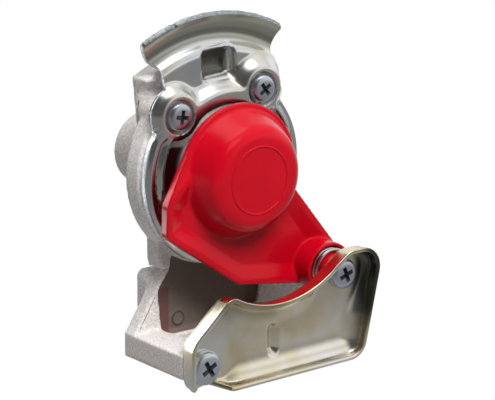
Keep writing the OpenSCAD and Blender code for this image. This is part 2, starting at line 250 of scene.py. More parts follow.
def ringFaces(rows, count, closedRows):
    faces = []
    for j in range(rows if closedRows else rows - 1):
        for i in range(count):
            a, b = j * count + i, j * count + (i + 1) % count
            k = (j + 1) % rows * count
            faces.append((a, b, k + (i + 1) % count, k + i))
    return faces


def prismMesh(name, outline, h0, h1):
    p = np.array(outline)
    n = len(p)
    faces = ringFaces(2, n, False) + [tuple(range(n)), tuple(range(2 * n - 1, n - 1, -1))]
    rows = [spots(p[:, 0], h, p[:, 1]) for h in (h0, h1)]
    return joined(name, [meshFrom(name, np.concatenate(rows), faces)])


def spunMesh(name, centre, profile, steps):
    turns = np.radians(np.arange(steps) * 360.0 / steps)
    rows = [spots(centre[0] + r * np.cos(turns), h, centre[1] + r * np.sin(turns)) for r, h in profile]
    return meshFrom(name, np.concatenate(rows), ringFaces(len(rows), steps, True))


# A pressed sheet is a grid cut at its rim, with a sheared wall that bulges between front and back
sheetSet = {"probe": 0.02, "snap": 0.32, "flattest": 0.2, "justInside": -1e-9, "wallAt": (0.14, 0.86),
            "bulge": 0.12}


def slopes(field, x, z):
    e = sheetSet["probe"]
    alongX = (field(x + e, z) - field(x - e, z)) / (2 * e)
    alongZ = (field(x, z + e) - field(x, z - e)) / (2 * e)
    return alongX, alongZ


def pressedSheet(name, rim, height, back, box, step):
    xs = np.arange(box[0], box[1] + step, step)
    zs = np.arange(box[2], box[3] + step, step)
    x, z = np.meshgrid(xs, zs, indexing="ij")
    d = rim(x, z)
    gx, gz = slopes(rim, x, z)
    g = np.maximum(gx * gx + gz * gz, sheetSet["flattest"])
    near = np.abs(d) < sheetSet["snap"] * step
    x = np.where(near, x - d * gx / g, x)
    z = np.where(near, z - d * gz / g, z)
    d = np.where(near, sheetSet["justInside"], d)
    points, faces, corner, crossing = [], [], {}, {}

    def gridPoint(i, j):
        if (i, j) not in corner:
            corner[(i, j)] = len(points)
            points.append((x[i, j], z[i, j]))
        return corner[(i, j)]

    def crossPoint(a, b):
        for end in (a, b):
            if near[end]:
                return gridPoint(*end)
        first, last = key = (a, b) if a < b else (b, a)
        if key not in crossing:
            t = d[first] / (d[first] - d[last])
            crossing[key] = len(points)
            points.append((x[first] + t * (x[last] - x[first]), z[first] + t * (z[last] - z[first])))
        return crossing[key]

    inside = d <= 0
    filled = inside[:-1, :-1] | inside[1:, :-1] | inside[:-1, 1:] | inside[1:, 1:]
    for i, j in np.argwhere(filled):
        ring = [(i, j), (i + 1, j), (i + 1, j + 1), (i, j + 1)]
        face = []
        for k in range(4):
            a, b = ring[k], ring[(k + 1) % 4]
            if inside[a]:
                face.append(gridPoint(*a))
            if inside[a] != inside[b]:
                face.append(crossPoint(a, b))
        face = list(dict.fromkeys(face))
        if len(face) >= 3:
            faces.append(face)
    p = np.array(points)
    n = len(p)
    px, pz = p[:, 0], p[:, 1]
    h = height(px, pz)
    hx, hz = slopes(height, px, pz)
    long = np.sqrt(1 + hx * hx + hz * hz)
    normal = np.stack([-hx / long, 1 / long, -hz / long], axis=1)
    bx, bh, bz = back(px, h, pz, normal)
    ox, oz = slopes(rim, px, pz)
    out = sheetSet["bulge"]
    layers = [(px, h, pz)]
    for t in sheetSet["wallAt"]:
        layers.append((px + (bx - px) * t + out * ox, h + (bh - h) * t, pz + (bz - pz) * t + out * oz))
    layers.append((bx, bh, bz))
    walls = len(layers) - 1
    edges = {}
    for face in faces:
        for a, b in zip(face, face[1:] + face[:1]):
            edges[(a, b)] = True
    solid = [tuple(f) for f in faces] + [tuple(walls * n + v for v in reversed(f)) for f in faces]
    for a, b in edges:
        if (b, a) not in edges:
            for k in range(walls):
                solid.append((k * n + a, (k + 1) * n + a, (k + 1) * n + b, k * n + b))
    mesh = meshFrom(name, np.concatenate([spots(*layer) for layer in layers]), solid)
    sheared = np.zeros(len(solid), np.int32)
    sheared[2 * len(faces):] = 1
    mesh.polygons.foreach_set("material_index", sheared)
    bm = bmesh.new()
    bm.from_mesh(mesh)
    bmesh.ops.delete(bm, geom=[v for v in bm.verts if not v.link_faces], context="VERTS")
    bm.to_mesh(mesh)
    bm.free()
    return mesh


print("stage: helpers ready")


# Node helpers for the materials and the studio
def link(tree, a, b):
    tree.links.new(a, b)


def mathNode(tree, operation, *values):
    node = tree.nodes.new("ShaderNodeMath")
    node.operation = operation
    for socket, value in zip(node.inputs, values):
        if isinstance(value, (int, float)):
            socket.default_value = value
        else:
            link(tree, value, socket)
    return node.outputs["Value"]


def plus(tree, a, b):
    return mathNode(tree, "ADD", a, b)


def minus(tree, a, b):
    return mathNode(tree, "SUBTRACT", a, b)


def times(tree, a, b):
    return mathNode(tree, "MULTIPLY", a, b)


def mixed(tree, factor, a, b):
    return plus(tree, a, times(tree, factor, minus(tree, b, a)))


def mapped(tree, value, span, levels=(0.0, 1.0), kind="SMOOTHSTEP"):
    node = tree.nodes.new("ShaderNodeMapRange")
    node.interpolation_type = kind
    for socket, number in zip(("From Min", "From Max", "To Min", "To Max"), (*span, *levels)):
        node.inputs[socket].default_value = number
    link(tree, value, node.inputs["Value"])
    return node.outputs["Result"]


def boxMask(tree, axes, limits, soft):
    mask = 1.0
    for value, (low, high) in zip(axes, limits):
        above = mapped(tree, value, (low - soft, low + soft))
        below = mapped(tree, value, (high + soft, high - soft))
        mask = times(tree, times(tree, above, below), mask)
    return mask


def splitPlace(tree, kind):
    place = tree.nodes.new("ShaderNodeTexCoord").outputs[kind]
    split = tree.nodes.new("ShaderNodeSeparateXYZ")
    link(tree, place, split.inputs["Vector"])
    return place, split.outputs


def partPlace(tree):
    place, (x, y, z) = splitPlace(tree, "Object")
    x = times(tree, x, 1 / mm)
    h = minus(tree, times(tree, y, -1 / mm), layout["headDepth"])
    z = minus(tree, times(tree, z, 1 / mm), layout["portDrop"])
    return place, (x, h, z)


def radiusFrom(tree, x, z, centre):
    dx, dz = minus(tree, x, centre[0]), minus(tree, z, centre[1])
    return mathNode(tree, "SQRT", plus(tree, times(tree, dx, dx), times(tree, dz, dz)))


def ramp(tree, source, stops):
    node = tree.nodes.new("ShaderNodeValToRGB")
    link(tree, source, node.inputs["Fac"])
    elements = node.color_ramp.elements
    while len(elements) < len(stops):
        elements.new(0.5)
    for element, (at, colour) in zip(elements, stops):
        element.position = at
        element.color = (*colour, 1.0)
    return node.outputs["Color"]


def tinted(tree, base, mask, colour, amount):
    node = tree.nodes.new("ShaderNodeMix")
    node.data_type = "RGBA"
    link(tree, times(tree, mask, amount), node.inputs["Factor"])
    link(tree, base, node.inputs["A"])
    node.inputs["B"].default_value = (*colour, 1.0)
    return node.outputs["Result"]


def mixedShader(tree, factor, a, b):
    node = tree.nodes.new("ShaderNodeMixShader")
    link(tree, factor, node.inputs["Fac"])
    link(tree, a, node.inputs[1])
    link(tree, b, node.inputs[2])
    return node.outputs["Shader"]


def principled(name):
    material = bpy.data.materials.new(name)
    material.use_nodes = True
    tree = material.node_tree
    return material, tree, tree.nodes["Principled BSDF"]


def makeGroup(name, inputs, outputs):
    group = bpy.data.node_groups.new(name, "ShaderNodeTree")
    for way, names in (("INPUT", inputs), ("OUTPUT", outputs)):
        for socketName in names:
            kind = "NodeSocketVector" if socketName == "Normal" else "NodeSocketFloat"
            group.interface.new_socket(socketName, in_out=way, socket_type=kind)
    return group, group.nodes.new("NodeGroupOutput")


# Grain of cast, plated and moulded surfaces
grainSet = {"detail": 3.0, "roughness": 0.65, "cloudScale": 55.0, "cloudDetail": 4.0}


def makeGrain():
    group, end = makeGroup("surfaceGrain", ("Scale", "Depth"), ("Fleck", "Cloud", "Normal"))
    start = group.nodes.new("NodeGroupInput")
    place = group.nodes.new("ShaderNodeTexCoord").outputs["Object"]
    fine = group.nodes.new("ShaderNodeTexNoise")
    fine.inputs["Detail"].default_value = grainSet["detail"]
    fine.inputs["Roughness"].default_value = grainSet["roughness"]
    cloud = group.nodes.new("ShaderNodeTexNoise")
    cloud.inputs["Scale"].default_value = grainSet["cloudScale"]
    cloud.inputs["Detail"].default_value = grainSet["cloudDetail"]
    bump = group.nodes.new("ShaderNodeBump")
    bump.inputs["Strength"].default_value = 1.0
    link(group, place, fine.inputs["Vector"])
    link(group, place, cloud.inputs["Vector"])
    link(group, start.outputs["Scale"], fine.inputs["Scale"])
    link(group, fine.outputs["Fac"], bump.inputs["Height"])
    link(group, start.outputs["Depth"], bump.inputs["Distance"])
    link(group, fine.outputs["Fac"], end.inputs["Fleck"])
    link(group, cloud.outputs["Fac"], end.inputs["Cloud"])
    link(group, bump.outputs["Normal"], end.inputs["Normal"])
    return group


# Painted shade on the casting: in the pocket under the cap, darker and redder along its left strip, and
# behind the window; a thin line of painted shade along the leg's front-left edge; and the ring that an
# ejector pin leaves
shadeAndPin = {"boxes": {"PocketShade": ((-24.5, 22.5), (-8.9, -5.7), (-59.0, -26.0)),
                   "Window": ((-9.5, 7.5), (-8.6, -2.2), (29.0, 45.0)),
                   "Strip": ((-23.0, -16.6), (-8.9, -5.7), (-59.0, -42.0))},
         "boxSoft": 0.35, "rightOfEdgeShade": (0.6, 1.1), "edgeShadeLine": ((-20.6, -36.3), (-31.0, -53.2)),
         "edgeShadeBox": ((-34.0, -21.5), (-5.8, -4.2), (-53.8, -43.0)), "edgeShadeSoft": 0.3,
         "edgeShadeWidth": (0.34, 0.1), "breakScale": 700.0, "breakAt": (0.34, 0.5), "pinR": 2.4,
         "pinWidth": (0.5, 0.15)}


def makeShadeAndPin():
    s = shadeAndPin
    group, end = makeGroup("castShadeAndPin", (), (*s["boxes"], "Seam", "Pin"))
    place, axes = partPlace(group)
    x, z = axes[0], axes[2]
    (ax, az), (bx, bz) = s["edgeShadeLine"]
    long = math.hypot(bx - ax, bz - az)
    nx, nz = (az - bz) / long, (bx - ax) / long
    side = minus(group, plus(group, times(group, x, nx), times(group, z, nz)), nx * ax + nz * az)
    rightOf = mapped(group, side, s["rightOfEdgeShade"])
    for name, limits in s["boxes"].items():
        mask = boxMask(group, axes, limits, s["boxSoft"])
        if name != "Window":
            mask = times(group, mask, rightOf)
        link(group, mask, end.inputs[name])
    # A thin line of painted shade along the leg's front-left edge, broken up by noise
    noise = group.nodes.new("ShaderNodeTexNoise")
    noise.inputs["Scale"].default_value = s["breakScale"]
    link(group, place, noise.inputs["Vector"])
    broken = mapped(group, noise.outputs["Fac"], s["breakAt"])
    line = mapped(group, mathNode(group, "ABSOLUTE", side), s["edgeShadeWidth"])
    shadeLineMask = times(group, line, boxMask(group, axes, s["edgeShadeBox"], s["edgeShadeSoft"]))
    link(group, times(group, shadeLineMask, broken), end.inputs["Seam"])
    off = minus(group, radiusFrom(group, x, z, layout["pin"]), s["pinR"])
    ring = mapped(group, mathNode(group, "ABSOLUTE", off), s["pinWidth"])
    pin = times(group, ring, boxMask(group, axes, s["boxes"]["PocketShade"], s["boxSoft"]))
    link(group, pin, end.inputs["Pin"])
    return group


# Curved bands of painted shade: in the claw plate's valley, near the tray's arc and in the hood round the
# pivot; on the lip a yellow tint of the plating with a painted darker reflection
bands = {"ValleyShade": {"centre": layout["lipCentre"], "radii": (52.0, 53.3, 56.0, 57.4), "axis": "z",
                    "gate": (28.0, 34.0)},
         "LipTintAndShade": {"centre": layout["lipCentre"], "radii": (55.6, 57.0, 61.0, 62.4), "axis": "z",
                 "gate": (28.0, 34.0)},
         "Arc": {"centre": layout["arcCentre"], "radii": (38.0, 38.8, 41.5, 48.5), "axis": "x",
                 "gate": (10.0, 1.0)},
         "HoodShade": {"centre": layout["pivot"], "radii": (5.0, 7.5, 15.0, 24.0), "axis": "x",
                  "gate": (36.5, 42.0)}}


def makeBands():
    group, end = makeGroup("curvedBands", (), bands)
    axes = dict(zip("xhz", partPlace(group)[1]))
    for name, band in bands.items():
        rho = radiusFrom(group, axes["x"], axes["z"], band["centre"])
        a, b, c, d = band["radii"]
        mask = times(group, mapped(group, rho, (a, b)), mapped(group, rho, (d, c)))
        gate = mapped(group, axes[band["axis"]], band["gate"])
        link(group, times(group, mask, gate), end.inputs[name])
    return group


grainGroup = makeGrain()
shadeAndPinGroup = makeShadeAndPin()
bandGroup = makeBands()


def grainy(name, look):
    material, tree, shader = principled(name)
    grain = tree.nodes.new("ShaderNodeGroup")
    grain.node_tree = grainGroup
    grain.inputs["Scale"].default_value = look["scale"]
    grain.inputs["Depth"].default_value = look["depth"]
    colour = ramp(tree, grain.outputs[look.get("by", "Cloud")], look["stops"])
    if "shadeAndMarks" in look:
        marks = tree.nodes.new("ShaderNodeGroup")
        marks.node_tree = look["marks"]
        for mark, (tint, amount) in look["shadeAndMarks"].items():
            colour = tinted(tree, colour, marks.outputs[mark], tint, amount)
    link(tree, colour, shader.inputs["Base Color"])
    link(tree, grain.outputs["Normal"], shader.inputs["Normal"])
    shader.inputs["Metallic"].default_value = look["metallic"]
    shader.inputs["Roughness"].default_value = look["roughness"]
    shader.inputs["Specular IOR Level"].default_value = look.get("specular", 0.5)
    return material


looks = {
    "casting": {"scale": 1250.0, "depth": 0.00018, "metallic": 0.0, "roughness": 0.6, "by": "Fleck",
                "specular": 0.3, "stops": [(0.3, (0.46, 0.43, 0.41)), (0.7, (0.82, 0.78, 0.76))],
                "marks": shadeAndPinGroup,
                # The pocket, strip and window tints are painted shade; Pin is the ejector pin's ring
                "shadeAndMarks": {"PocketShade": ((0.15, 0.115, 0.098), 0.95), "Strip": ((0.15, 0.065, 0.06), 0.85),
                           # The line tint along the leg's front-left edge is painted shade
                           "Window": ((0.045, 0.044, 0.034), 0.95), "Seam": ((0.16, 0.15, 0.14), 0.85),
                           "Pin": ((0.05, 0.045, 0.04), 0.8)}},
    "zinc": {"scale": 300.0, "depth": 0.000006, "metallic": 1.0, "roughness": 0.25,
             "stops": [(0.35, (0.72, 0.745, 0.76)), (0.5, (0.80, 0.80, 0.78)),
                       (0.68, (0.80, 0.76, 0.64))],
             "marks": bandGroup,
             # Lip: yellow tint of the plating with a painted darker reflection; Valley: painted shade
             "shadeAndMarks": {"LipTintAndShade": ((0.50, 0.50, 0.40), 0.75), "ValleyShade": ((0.30, 0.31, 0.25), 0.8)}},
    "shearedZinc": {"scale": 1800.0, "depth": 0.00008, "metallic": 1.0, "roughness": 0.4, "by": "Fleck",
                    "stops": [(0.3, (0.14, 0.16, 0.18)), (0.65, (0.58, 0.62, 0.65))]},
    "yellowZinc": {"scale": 150.0, "depth": 0.000005, "metallic": 1.0, "roughness": 0.24,
                   "stops": [(0.34, (0.76, 0.66, 0.44)), (0.5, (0.86, 0.79, 0.64)),
                             (0.64, (0.88, 0.87, 0.83))],
                   "marks": bandGroup,
                   # Arc and Hood: painted shade near the arc's wall and inside the hood round the pivot
                   "shadeAndMarks": {"Arc": ((0.36, 0.31, 0.20), 0.8), "HoodShade": ((0.06, 0.055, 0.045), 0.92)}},
    "screw": {"scale": 700.0, "depth": 0.00001, "metallic": 1.0, "roughness": 0.36,
              "stops": [(0.35, (0.55, 0.59, 0.66)), (0.65, (0.72, 0.76, 0.82))]},
    # Painted shade in the screws' cross recesses, a dark blue-grey
    "recess": {"scale": 700.0, "depth": 0.00002, "metallic": 0.7, "roughness": 0.45,
               "stops": [(0.35, (0.05, 0.06, 0.085)), (0.65, (0.14, 0.16, 0.20))]},
    "spring": {"scale": 700.0, "depth": 0.000005, "metallic": 1.0, "roughness": 0.22,
               "stops": [(0.35, (0.62, 0.62, 0.63)), (0.65, (0.74, 0.74, 0.74))]},
    "redCap": {"scale": 500.0, "depth": 0.000003, "metallic": 0.0, "roughness": 0.22, "specular": 0.25,
               "stops": [(0.3, (0.40, 0.001, 0.008)), (0.7, (0.46, 0.0015, 0.011))]},
    "seal": {"scale": 700.0, "depth": 0.00001, "metallic": 0.0, "roughness": 0.6,
             "stops": [(0.3, (0.015, 0.015, 0.016)), (0.7, (0.03, 0.03, 0.032))]},
    "brass": {"scale": 500.0, "depth": 0.000005, "metallic": 1.0, "roughness": 0.3,
              "stops": [(0.3, (0.62, 0.45, 0.18)), (0.7, (0.74, 0.57, 0.26))]},
}
materials = {name: grainy(name, look) for name, look in looks.items()}
print("stage: materials ready")

# Every node gets its material, also a node that a piece stands in for
nodeLooks = {"seal_ring": "seal", "valve_poppet": "brass", "strainer": "brass", "valve_spring": "spring",
             "pivot_sleeve": "screw", "pivot_washer": "screw", "body": "casting", "claw_plate": "zinc",
             "claw_screw_left": "screw", "claw_screw_right": "screw", "guide_plate": "yellowZinc",
             "guide_screw": "screw", "pivot_screw": "screw", "cap_spring": "spring", "dust_cap": "redCap"}
for nodeName, lookName in nodeLooks.items():
    mesh = nodes[nodeName].data
    mesh.materials.clear()
    mesh.materials.append(materials[lookName])

# Cast head with soft edges, the space under the leg's ledge and the ring of an ejector pin
casting = {"voxel": 0.58, "factor": 0.5, "rounds": 2, "weld": 0.000002,
           "underLedge": ([(-26.5, -33.2), (-20.2, -33.2), (-23.35, -38.35), (-26.5, -43.4)], -9.7, -1.0),
           "ledgeFront": ([(-24.0, -33.3), (-18.0, -33.3), (-18.0, -37.0), (-24.0, -37.0)], -4.6, -1.0),
           "legWall": ([(-20.2, -32.8), (-18.4, -32.6), (-18.7, -34.8), (-23.7, -41.3), (-25.2, -41.3),
                        (-23.3, -38.3)], -9.8, -4.6),
           "pinMark": [(0.05, -9.5), (0.05, -7.8), (1.8, -7.7), (2.3, -7.2), (2.8, -7.7), (2.9, -9.5)],
           "pinSteps": 32, "sharp": 60}
castMesh = joined("castShape", [nodes["body"].data])
bm = bmesh.new()
bm.from_mesh(castMesh)
bmesh.ops.remove_doubles(bm, verts=bm.verts, dist=casting["weld"])
bm.to_mesh(castMesh)
bm.free()
for cutName in ("underLedge", "ledgeFront"):
    castMesh = carved(cutName + "Carved", castMesh, prismMesh(cutName, *casting[cutName]))
pinMesh = spunMesh("pinMark", layout["pin"], casting["pinMark"], casting["pinSteps"])
castMesh = joined("castShape", [castMesh, prismMesh("legWall", *casting["legWall"]), pinMesh])
castMesh = remeshed("castHead", castMesh, casting["voxel"], casting["factor"], casting["rounds"])
addPiece("castHead", castMesh, ["casting"], "head", ["body"], casting["sharp"])
print("stage: casting", len(castMesh.polygons))

# Pressed claw plate
claw = {"lipCentre": layout["lipCentre"], "lipR": 61.3, "lipReach": 6.0, "lipBend": 9.3,
        "lipEnds": (60.1, 117.9), "lipSteps": 120, "valleyBend": 4.5, "shoulderBend": 3.5,
        "shoulderTurn": math.radians(65.0), "leastBend": 0.01, "panelH": 0.4, "thickness": 1.75,
        "left": (-20.97, 21.87), "right": (14.41, 26.65),
        "leftWing": (-2.9, 10.5), "rightWing": (10.3, 4.0),
        "leftSide": ((0.8, 0), (3.7, -2)), "rightSide": ((3.8, 0), (0.8, 0)),
        "chips": ((0.05, 0.9, 0.0), (0.03, 2.3, 1.0)), "nick": (0.6, 104.7, 0.45),
        "lipCorner": (0.7, 1.0),
        "seatR": 10.0, "seatH": 3.0, "seatEdge": (5.15, 6.3), "seatBlend": 1.6,
        "plateauR": 6.9, "plateauH": 5.1, "plateauBlend": 2.6, "flank": 4.9,
        "ridgeR": 25.7, "ridgeHalf": 1.3, "ridgeEnds": (61.6, 133.8),
        "innerR": 20.0, "ringR": 31.6, "ringLeftR": 33.7, "leftSweep": ((140, 160), (270, 320)),
        "ringH": 2.2, "ringEdge": 34.6, "press": (29.6, 27.2), "pressSweep": ((50, 56), (138, 146)),
        "hornR": 28.1, "hornW": 1.25, "hornH": 2.2, "hornSweep": ((14, 24), (186, 202)),
        "beadUp": 1.2, "beadFrom": (29.4, 30.6), "beadDown": 1.1, "beadTo": (32.0, 33.6),
        "beadSweep": ((146, 152), (306, 314)),
        "windowSize": (11.8, 9.7), "windowMid": (-1.3, 37.0), "windowLean": math.radians(2.0),
        "windowRoll": 1.1, "windowCorner": 1.6, "windowDip": 0.5, "windowFade": (-0.1, 1.3),
        "backSeat": (9.6, 10.4), "backRing": (33.6, 34.3), "backAbove": 1.6, "backH": 0.02,
        "collar": ((1.2, 1.0, 0.02), (0.9, 1.0, -0.1), (0.55, 0.9, -0.4), (0.2, 0.6, -0.9),
                   (-0.15, 0.2, -1.6), (-0.5, 0.0, -2.5), (-0.8, 0.0, -3.6), (-0.8, 0.0, -4.1),
                   (0.7, 0.0, -4.2), (0.9, 0.0, -4.0), (1.5, 0.3, -1.9), (2.2, 0.8, -1.4)),
        "collarSteps": 6, "box": (-34.0, 34.0, -34.0, 55.0), "step": 0.42, "sharp": 50}
claw["valleyR"] = claw["lipR"] - claw["lipReach"]
bothBends = claw["shoulderBend"] + claw["valleyBend"]
claw["shoulderR"] = claw["valleyR"] - bothBends * math.sin(claw["shoulderTurn"])
claw["low"] = claw["panelH"] - bothBends * (1 - math.cos(claw["shoulderTurn"]))


def lipProfile(rho):
    c = claw

    def bend(radius, off):
        return np.sqrt(np.maximum(c["leastBend"], radius ** 2 - off ** 2))

    over = c["panelH"] - c["shoulderBend"] + bend(c["shoulderBend"], np.maximum(0, rho - c["shoulderR"]))
    dip = c["low"] + c["valleyBend"] - bend(c["valleyBend"], rho - c["valleyR"])
    curl = c["low"] + c["lipBend"] - bend(c["lipBend"], rho - c["valleyR"])
    split = c["shoulderR"] + c["shoulderBend"] * math.sin(c["shoulderTurn"])
    return np.where(rho < split, over, np.where(rho < c["valleyR"], dip, curl))


def windowDistance(x, z):
    c = claw
    u, v = turned(x - c["windowMid"][0], z - c["windowMid"][1], -c["windowLean"])
    qx = np.abs(u) - c["windowSize"][0] / 2 + c["windowCorner"]
    qz = np.abs(v) - c["windowSize"][1] / 2 + c["windowCorner"]
    outside = np.hypot(np.maximum(qx, 0), np.maximum(qz, 0))
    return outside + np.minimum(np.maximum(qx, qz), 0) - c["windowCorner"] - c["windowRoll"]


def clawHeight(x, z):
    c = claw
    r = np.hypot(x, z)
    angle = bearing(x, z)
    horn = c["hornH"] * np.exp(-((r - c["hornR"]) / c["hornW"]) ** 2)
    bead = c["beadUp"] * smooth(*c["beadFrom"], r) - c["beadDown"] * smooth(*c["beadTo"], r)
    ring = c["ringH"] + sweep(angle, *c["hornSweep"]) * horn + sweep(angle, *c["beadSweep"]) * bead
    inward = 1 - (1 - smooth(*c["press"], r)) * sweep(angle, *c["pressSweep"])
    inward = np.where(r > c["ringEdge"], 0.0, inward)
    h = lipProfile(apart(x, z, c["lipCentre"])) * (1 - inward) + ring * inward
    spread = np.radians(np.clip(angle, *c["ridgeEnds"]))
    away = np.hypot(x - c["ridgeR"] * np.cos(spread), z - c["ridgeR"] * np.sin(spread)) - c["ridgeHalf"]
    for mid in (c["left"], c["right"]):
        away = -softMax(-away, c["plateauR"] - apart(x, z, mid), c["plateauBlend"])
    h = h + (c["plateauH"] - h) * bell(away / c["flank"])
    for mid in (c["left"], c["right"]):
        h = c["seatH"] + (h - c["seatH"]) * smooth(*c["seatEdge"], apart(x, z, mid))
    return h - c["windowDip"] * (1 - smooth(*c["windowFade"], windowDistance(x, z))) ** 2


def clawRim():
    c = claw
    first, last = c["lipEnds"]
    nickDeep, nickAt, nickWidth = c["nick"]
    cornerDeep, cornerWidth = c["lipCorner"]
    top = []
    for a in np.linspace(first, last, c["lipSteps"] + 1):
        chip = sum(size * math.sin(a * rate + phase) for size, rate, phase in c["chips"])
        nick = nickDeep * math.exp(-((a - nickAt) / nickWidth) ** 2)
        corner = cornerDeep * max(0.0, 1 - min(a - first, last - a) / cornerWidth) ** 2
        top.append(polar(c["lipCentre"], c["lipR"] + chip - nick - corner, a))

    def side(end, steps):
        return [polar(c["lipCentre"], c["valleyR"] - inset, end + turn) for inset, turn in steps]

    left, right = Vector(c["left"]), Vector(c["right"])
    seats = [left + Vector(c["leftWing"]), left, right, right + Vector(c["rightWing"])]
    outline = top + side(last, c["leftSide"]) + [tuple(p) for p in seats] + side(first, c["rightSide"])
    blank = polygonField(outline)

    def field(x, z):
        r = np.hypot(x, z)
        wider = (c["ringLeftR"] - c["ringR"]) * sweep(bearing(x, z), *c["leftSweep"])
        d = np.minimum(blank(x, z), r - c["ringR"] - wider)
        for mid in (c["left"], c["right"]):
            d = -softMax(-d, c["seatR"] - apart(x, z, mid), c["seatBlend"])
        return np.maximum(np.maximum(d, c["innerR"] - r), -windowDistance(x, z))
    return field


def clawBack(x, h, z, normal):
    c = claw
    seat = np.minimum(apart(x, z, c["left"]), apart(x, z, c["right"]))
    onRing = np.where(h > c["backAbove"], 1 - smooth(*c["backRing"], np.hypot(x, z)), 0.0)
    low = np.maximum(1 - smooth(*c["backSeat"], seat), onRing)
    bx, bh, bz = (v - normal[:, i] * c["thickness"] for i, v in enumerate((x, h, z)))
    return bx + (x - bx) * low, bh + (c["backH"] - bh) * low, bz + (z - bz) * low


clawMesh = pressedSheet("clawSheet", clawRim(), clawHeight, clawBack, claw["box"], claw["step"])
halfW, halfH = (0.5 * size for size in claw["windowSize"])
collarCorners = [(sx * halfW, sz * halfH, claw["windowCorner"]) for sx, sz in squareCorners]
collarOutline = roundedOutline(collarCorners, claw["collarSteps"])
collarRows = []
for grow, hold, drop in claw["collar"]:
    px, pz = turned(*grownOutline(collarOutline, grow).T, claw["windowLean"])
    px, pz = px + claw["windowMid"][0], pz + claw["windowMid"][1]
    collarRows.append(spots(px, clawHeight(px, pz) * hold + drop, pz))
collarFaces = ringFaces(len(collarRows), len(collarOutline), True)
collarMesh = meshFrom("clawCollar", np.concatenate(collarRows), collarFaces)
clawMesh = joined("clawSheet", [clawMesh, collarMesh])
addPiece("clawSheet", clawMesh, ["zinc", "shearedZinc"], "head", ["claw_plate"], claw["sharp"])
print("stage: claw plate", len(clawMesh.polygons))

# Pressed guide tray
tray = {"gap": 24.0, "t": 1.4, "arcCentre": layout["arcCentre"], "arcR": 38.6, "arcEnds": (-50, -115),
        "arcSteps": 26, "cornerSteps": 8,
        "corners": [(-18.5, -36.2, 4), (-34.8, -50.6, 6), (-34.8, -68.2, 3.6), (-25.4, -66.2, 3),
                    (-18, -68.9, 6), (38.7, -67.9, 6.5), (47.3, -29.1, 7.2), (32.8, -29.1, 6)],
        "cut": [(-32, -60), (-22.2, -62), (-22.2, -75), (-32, -75)],
        "cutFade": (0.0, 2.0), "cutKeep": 0.03,
        "section": [(-3.0, 24.02), (-3.0, 25.2), (-1.05, 25.3), (-1.05, 30.9), (-0.95, 31.2),
                    (-0.7, 31.4), (0.25, 31.4), (0.45, 31.2), (0.5, 30.9), (0.25, 29.0)],
        "outsideBend": 2.2, "bendSteps": 6, "floorIn": -0.85, "floorLift": 0.02, "floorBack": 1.0,
        "sharpBend": (1.6, 2.4), "wideBend": (8.6, 4.9), "wideFrom": (-21.0, -11.0),
        "wideRound": (6.5, 17.0), "bendShare": 0.985,
        "detentMid": (3.2, -56.2), "detentHalf": (2.9, 6.4), "detentDeep": 2.0,
        "guide": (-26.4, -60.5), "pivot": layout["pivot"],
        "box": (-37.0, 49.0, -71.0, -27.0), "step": 0.5, "sharp": 40}
trayArc = arcPoints(tray["arcCentre"], tray["arcR"], *tray["arcEnds"], tray["arcSteps"])
trayOutline = roundedOutline(tray["corners"] + [(x, z, 0) for x, z in trayArc], tray["cornerSteps"])
trayCut = polygonField(tray["cut"])
trayInside = polygonField(grownOutline(trayOutline, tray["floorIn"]))
trayFloorH = tray["gap"] + tray["t"]
outsideMid = (-tray["outsideBend"], tray["gap"] + tray["outsideBend"])
traySection = tray["section"] + arcPoints(outsideMid, tray["outsideBend"], 0, -90, tray["bendSteps"])


def trayKeep(x, z):
    return np.maximum(smooth(*tray["cutFade"], trayCut(x, z)), tray["cutKeep"])


def trayHeight(x, z):
    t = tray
    wide = smooth(*t["wideFrom"], x) * smooth(*t["wideRound"], apart(x, z, t["pivot"]))
    run, rise = (a + (b - a) * wide for a, b in zip(t["sharpBend"], t["wideBend"]))
    u = np.clip(1 + trayInside(x, z) / run, 0.0, 1.0)
    bend = 1 - np.sqrt(np.maximum(0.0, 1 - t["bendShare"] * u * u))
    h = trayFloorH + t["floorLift"] + rise * bend * trayKeep(x, z)
    across, along = t["detentHalf"]
    dx, dz = np.abs(x - t["detentMid"][0]), np.abs(z - t["detentMid"][1])
    return h - t["detentDeep"] * bell(np.hypot(dx, np.maximum(dz - along + across, 0.0)) / across)


def trayBack(x, h, z, normal):
    return x, np.minimum(tray["gap"] + tray["floorLift"], h - tray["floorBack"]), z


trayRows = []
wallKeep = trayKeep(*np.array(trayOutline).T)
for grow, h in traySection:
    p = grownOutline(trayOutline, grow)
    height = trayFloorH + (h - trayFloorH) * wallKeep if h > trayFloorH else h
    trayRows.append(spots(p[:, 0], height, p[:, 1]))
wallFaces = ringFaces(len(trayRows), len(trayOutline), True)
wallMesh = meshFrom("trayWall", np.concatenate(trayRows), wallFaces)
trayFloor = pressedSheet("trayFloor", trayInside, trayHeight, trayBack, tray["box"], tray["step"])
trayFloor.polygons.foreach_set("material_index", np.zeros(len(trayFloor.polygons), np.int32))
trayMesh = joined("guideTray", [wallMesh, trayFloor])
addPiece("guideTray", trayMesh, ["yellowZinc"], "head", ["guide_plate"], tray["sharp"])
print("stage: guide tray", len(trayMesh.polygons))

